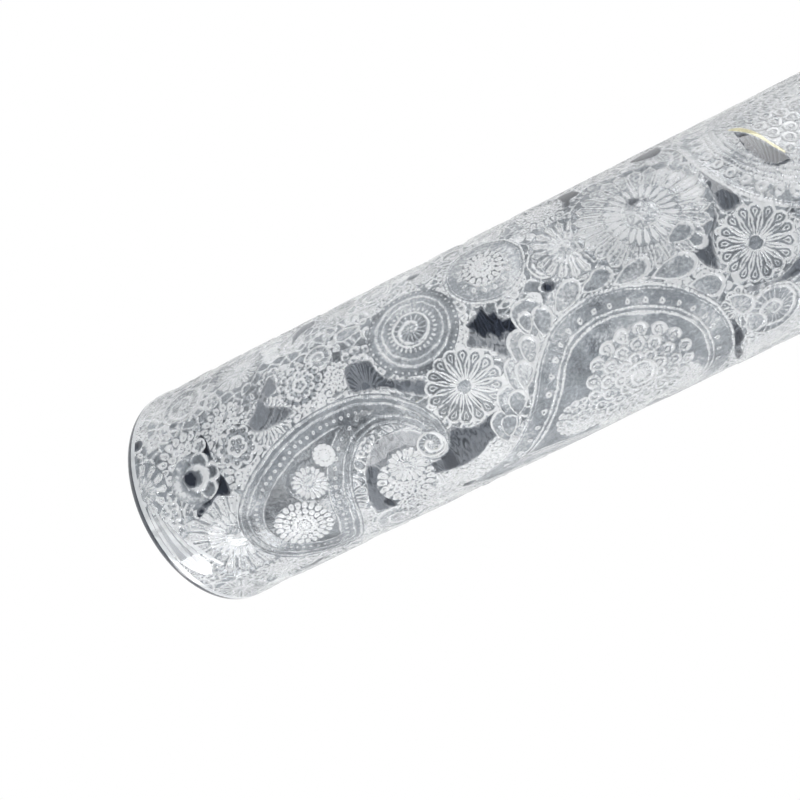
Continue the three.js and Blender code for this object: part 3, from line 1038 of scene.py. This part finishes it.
def clear_acrylic():
    """Polished acrylic. Where it is engraved it is satin, pale on the crests and darker in
    the grooves by painted shade, and the clear places between figures have painted shade in
    their colour for the darkness seen through the rod."""
    material, m, shader = new_material("clear_acrylic")
    coordinates = m.out(m.node("TexCoord"), "Object")
    # Of a clear gap the count is how dark its painted shade is; pale stems partly from painted light.
    place, (kind, count, pale) = (m.split(m.out(m.node("Attribute", attribute_name=title), "Vector"))
                                  for title in ("place", "form"))
    figure = kind > 0.5
    lines = drawn_lines(m, coordinates, place, kind, count)
    grain = m.noise(coordinates, GRAIN_SCALE, Detail=3)
    grainy = (grain - 0.5) * (lines * 0.9 + (pale * 0.6 + 0.45)) * figure
    engraved = engraved_colour(m, coordinates, lines, grainy, pale)
    # Clear gaps take their painted shade, engraved places their colour.
    colour = m.mixed(figure, gap_painted_shade(m, place, count), engraved)
    rough = figure * (grain * 0.14 + 0.02) + 0.02
    bump = m.node("Bump")
    m.feed([bump.inputs["Distance"], bump.inputs["Height"]], [MM, (grainy * 0.25 + lines) * LINE_HEIGHT])
    titles = "Transmission Weight", "IOR", "Base Color", "Roughness", "Normal"
    m.feed([shader.inputs[title] for title in titles],
           [CLARITY, ACRYLIC_IOR, colour, rough, m.out(bump)])
    return material


def seen_directly(m):
    """One on rays from the camera, from a mirror and through glass, and nothing on those
    that only light a surface."""
    path = m.node("LightPath")
    return m.most(*(m.out(path, f"Is {ray} Ray") for ray in ("Camera", "Glossy", "Transmission")))


# The floor, its size in metres, and how white and rough it is
FLOOR_SIZE = 3.0
FLOOR_COLOUR = (0.95, 0.95, 0.95, 1)
FLOOR_ROUGHNESS = 0.9


def floor_material():
    """Matt and pale, and plain white where it is seen directly."""
    material, m, shader = new_material("pale_floor")
    shader.inputs["Base Color"].default_value = FLOOR_COLOUR
    shader.inputs["Roughness"].default_value = FLOOR_ROUGHNESS
    mix = m.node("MixShader", seen_directly(m), m.out(shader), m.out(m.node("Emission")))
    m.feed([m.tree.nodes["Material Output"].inputs["Surface"]], [m.out(mix)])
    return material


def make_floor():
    half = FLOOR_SIZE / 2
    z = ROD_LOW[2]
    mesh = bpy.data.meshes.new("floor")
    mesh.from_pydata([(-half, -half, z), (half, -half, z), (half, half, z), (-half, half, z)],
                     [], [(0, 1, 2, 3)])
    floor = bpy.data.objects.new("floor", mesh)
    bpy.context.scene.collection.objects.link(floor)
    mesh.materials.append(floor_material())


# The lamps, all aimed at the rod's middle: the place and the size in metres, and the watts
LAMPS = (
    ("key_lamp", (-0.7, -0.7, 0.35), (0.6, 0.5), 8.5),
    ("fill_lamp", (0.65, 0.7, 0.4), (0.8, 0.7), 9),
    ("top_lamp", (-0.3, -0.45, 0.9), (0.6, 0.6), 4.5))


def area_lamp(name, place, size, power):
    data = bpy.data.lights.new(name, "AREA")
    data.shape = "RECTANGLE"
    data.size, data.size_y = size
    data.energy = power
    lamp = bpy.data.objects.new(name, data)
    bpy.context.scene.collection.objects.link(lamp)
    aim = -Vector(place)
    lamp.matrix_world = Matrix.Translation(place) @ aim.to_track_quat("-Z", "Y").to_matrix().to_4x4()


# Sines of the heights between which the studio's light falls off, the way to its bright
# side and how much that side counts, and its strength low on that side and overhead
HORIZON_BAND = (0.04, 0.56)
BRIGHT_SIDE = (0.5, -0.86, 0)
SIDE_SHARE = 0.2
BRIGHT = 3.0
DIM = 0.25


def make_world():
    """Dim overhead and bright round the horizon, brightest towards BRIGHT_SIDE: the share
    of BRIGHT is the height's falling step times 1 - SIDE_SHARE + SIDE_SHARE lean, where lean
    is the cosine of the angle to that side. Where it is seen, mirrored or through the rod,
    it stops at white."""
    world = bpy.data.worlds.new("studio")
    bpy.context.scene.world = world
    world.use_nodes = True
    m = Sums(world.node_tree)
    direction = m.out(m.node("TexCoord"), "Generated")
    lean = m.out(m.node("VectorMath", direction, BRIGHT_SIDE, operation="DOT_PRODUCT"), "Value")
    fall = m.out(m.node("MapRange", m.split(direction)[2], *HORIZON_BAND, BRIGHT, 0.0,
                        interpolation_type="SMOOTHSTEP"))
    light = fall * (lean * SIDE_SHARE + (1 - SIDE_SHARE)) + DIM
    light = over(light, m("MINIMUM", light, 1.0), seen_directly(m))
    background = world.node_tree.nodes["Background"].inputs
    m.feed([background["Color"], background["Strength"]], [(1, 1, 1, 1), light])


# The camera, from places measured in the photograph's frame of 800 pixels
FRAME_PX = 800
FOCAL_PX = 529.5
PRINCIPAL_PX = (481.9, 360.4)
ROD_TILT = math.radians(26.23)
LEAN = math.radians(2.8)
CAMERA_ALONG = 37.24
CAMERA_HEIGHT = 59.32


def make_camera():
    """Above the rod, looking almost straight down, turned so that the rod rises to the
    right. The rod leans by LEAN to the picture, its right end nearer."""
    data = bpy.data.cameras.new("camera")
    data.sensor_width = 36
    data.lens = FOCAL_PX / FRAME_PX * data.sensor_width
    data.shift_x = (FRAME_PX / 2 - PRINCIPAL_PX[0]) / FRAME_PX
    data.shift_y = (PRINCIPAL_PX[1] - FRAME_PX / 2) / FRAME_PX
    data.clip_start = 0.001
    camera = bpy.data.objects.new("camera", data)
    bpy.context.scene.collection.objects.link(camera)
    along = Vector((math.cos(LEAN), 0, -math.sin(LEAN)))
    across = Vector((0, -1, 0))
    right = along * math.cos(ROD_TILT) + across * math.sin(ROD_TILT)
    up = along * math.sin(ROD_TILT) - across * math.cos(ROD_TILT)
    back = right.cross(up)
    place = Vector((CAMERA_ALONG - LENGTH / 2, 0, CAMERA_HEIGHT)) * MM
    turn = Matrix((right, up, back)).transposed().to_4x4()
    camera.matrix_world = Matrix.Translation(place) @ turn
    bpy.context.scene.camera = camera


rod = make_rod()
rod.data.materials.append(clear_acrylic())
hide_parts(ROD_NODE)
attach(rod, "root")
make_floor()
make_world()
make_camera()
for lamp in LAMPS:
    area_lamp(*lamp)
bpy.context.scene.view_settings.view_transform = "Standard"
bpy.context.scene.cycles.transmission_bounces = 16
bpy.context.scene.cycles.max_bounces = 20
